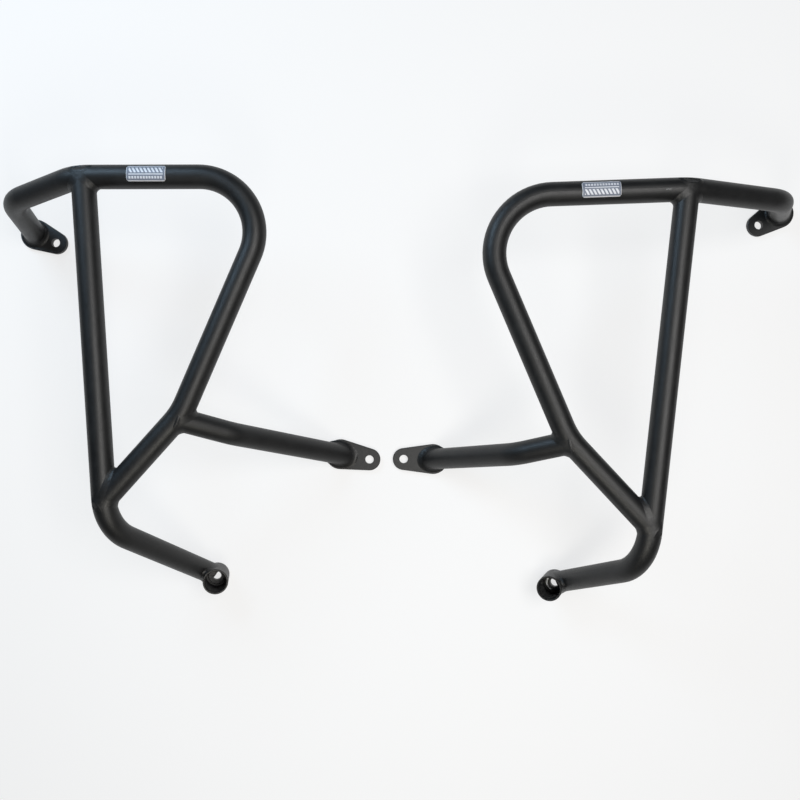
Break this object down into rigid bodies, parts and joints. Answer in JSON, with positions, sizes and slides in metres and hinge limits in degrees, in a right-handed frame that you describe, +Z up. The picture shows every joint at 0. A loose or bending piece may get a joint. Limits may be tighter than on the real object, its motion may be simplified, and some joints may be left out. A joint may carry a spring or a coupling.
{
  "type": "motorcycle crash bars",
  "caption": "Left and right tubular crash bars for a motorcycle: a bent hoop, a down tube and a branch welded to drilled lugs and a bolt cup, to guard the engine in a fall.",
  "frame": {"origin": "on the floor below the middle of the pair's bounding box", "axes": "+X from the left bar to the right bar, +Y from the lower cups to the top rails, +Z up, the outer side of both bars facing up"},
  "size_m": [0.961, 0.4914, 0.1652],
  "materials": {
    "tube_coat": "satin black powder coat",
    "lug_coat": "satin black powder coat",
    "cup_coat": "satin black powder coat",
    "cup_base_coat": "satin black powder coat, worn to bare metal at the rim",
    "weld_coat": "satin black powder coat over a rippled bead",
    "label_film": "silver film"
  },
  "bodies": {
    "root": {"left_hoop_tube": "tube_coat", "left_down_tube": "tube_coat", "left_branch_tube": "tube_coat", "left_upper_lug": "lug_coat", "left_rear_lug": "lug_coat", "left_lower_cup_sleeve": "cup_coat", "left_lower_cup_base": "cup_base_coat", "left_top_joint_weld": "weld_coat", "left_diagonal_joint_weld": "weld_coat", "left_branch_joint_weld": "weld_coat", "left_upper_lug_weld": "weld_coat", "left_rear_lug_weld": "weld_coat", "left_cup_weld": "weld_coat", "left_rail_label": "label_film", "right_hoop_tube": "tube_coat", "right_down_tube": "tube_coat", "right_branch_tube": "tube_coat", "right_upper_lug": "lug_coat", "right_rear_lug": "lug_coat", "right_lower_cup_sleeve": "cup_coat", "right_lower_cup_base": "cup_base_coat", "right_top_joint_weld": "weld_coat", "right_diagonal_joint_weld": "weld_coat", "right_branch_joint_weld": "weld_coat", "right_upper_lug_weld": "weld_coat", "right_rear_lug_weld": "weld_coat", "right_cup_weld": "weld_coat", "right_rail_label": "label_film"}
  },
  "joints": []
}
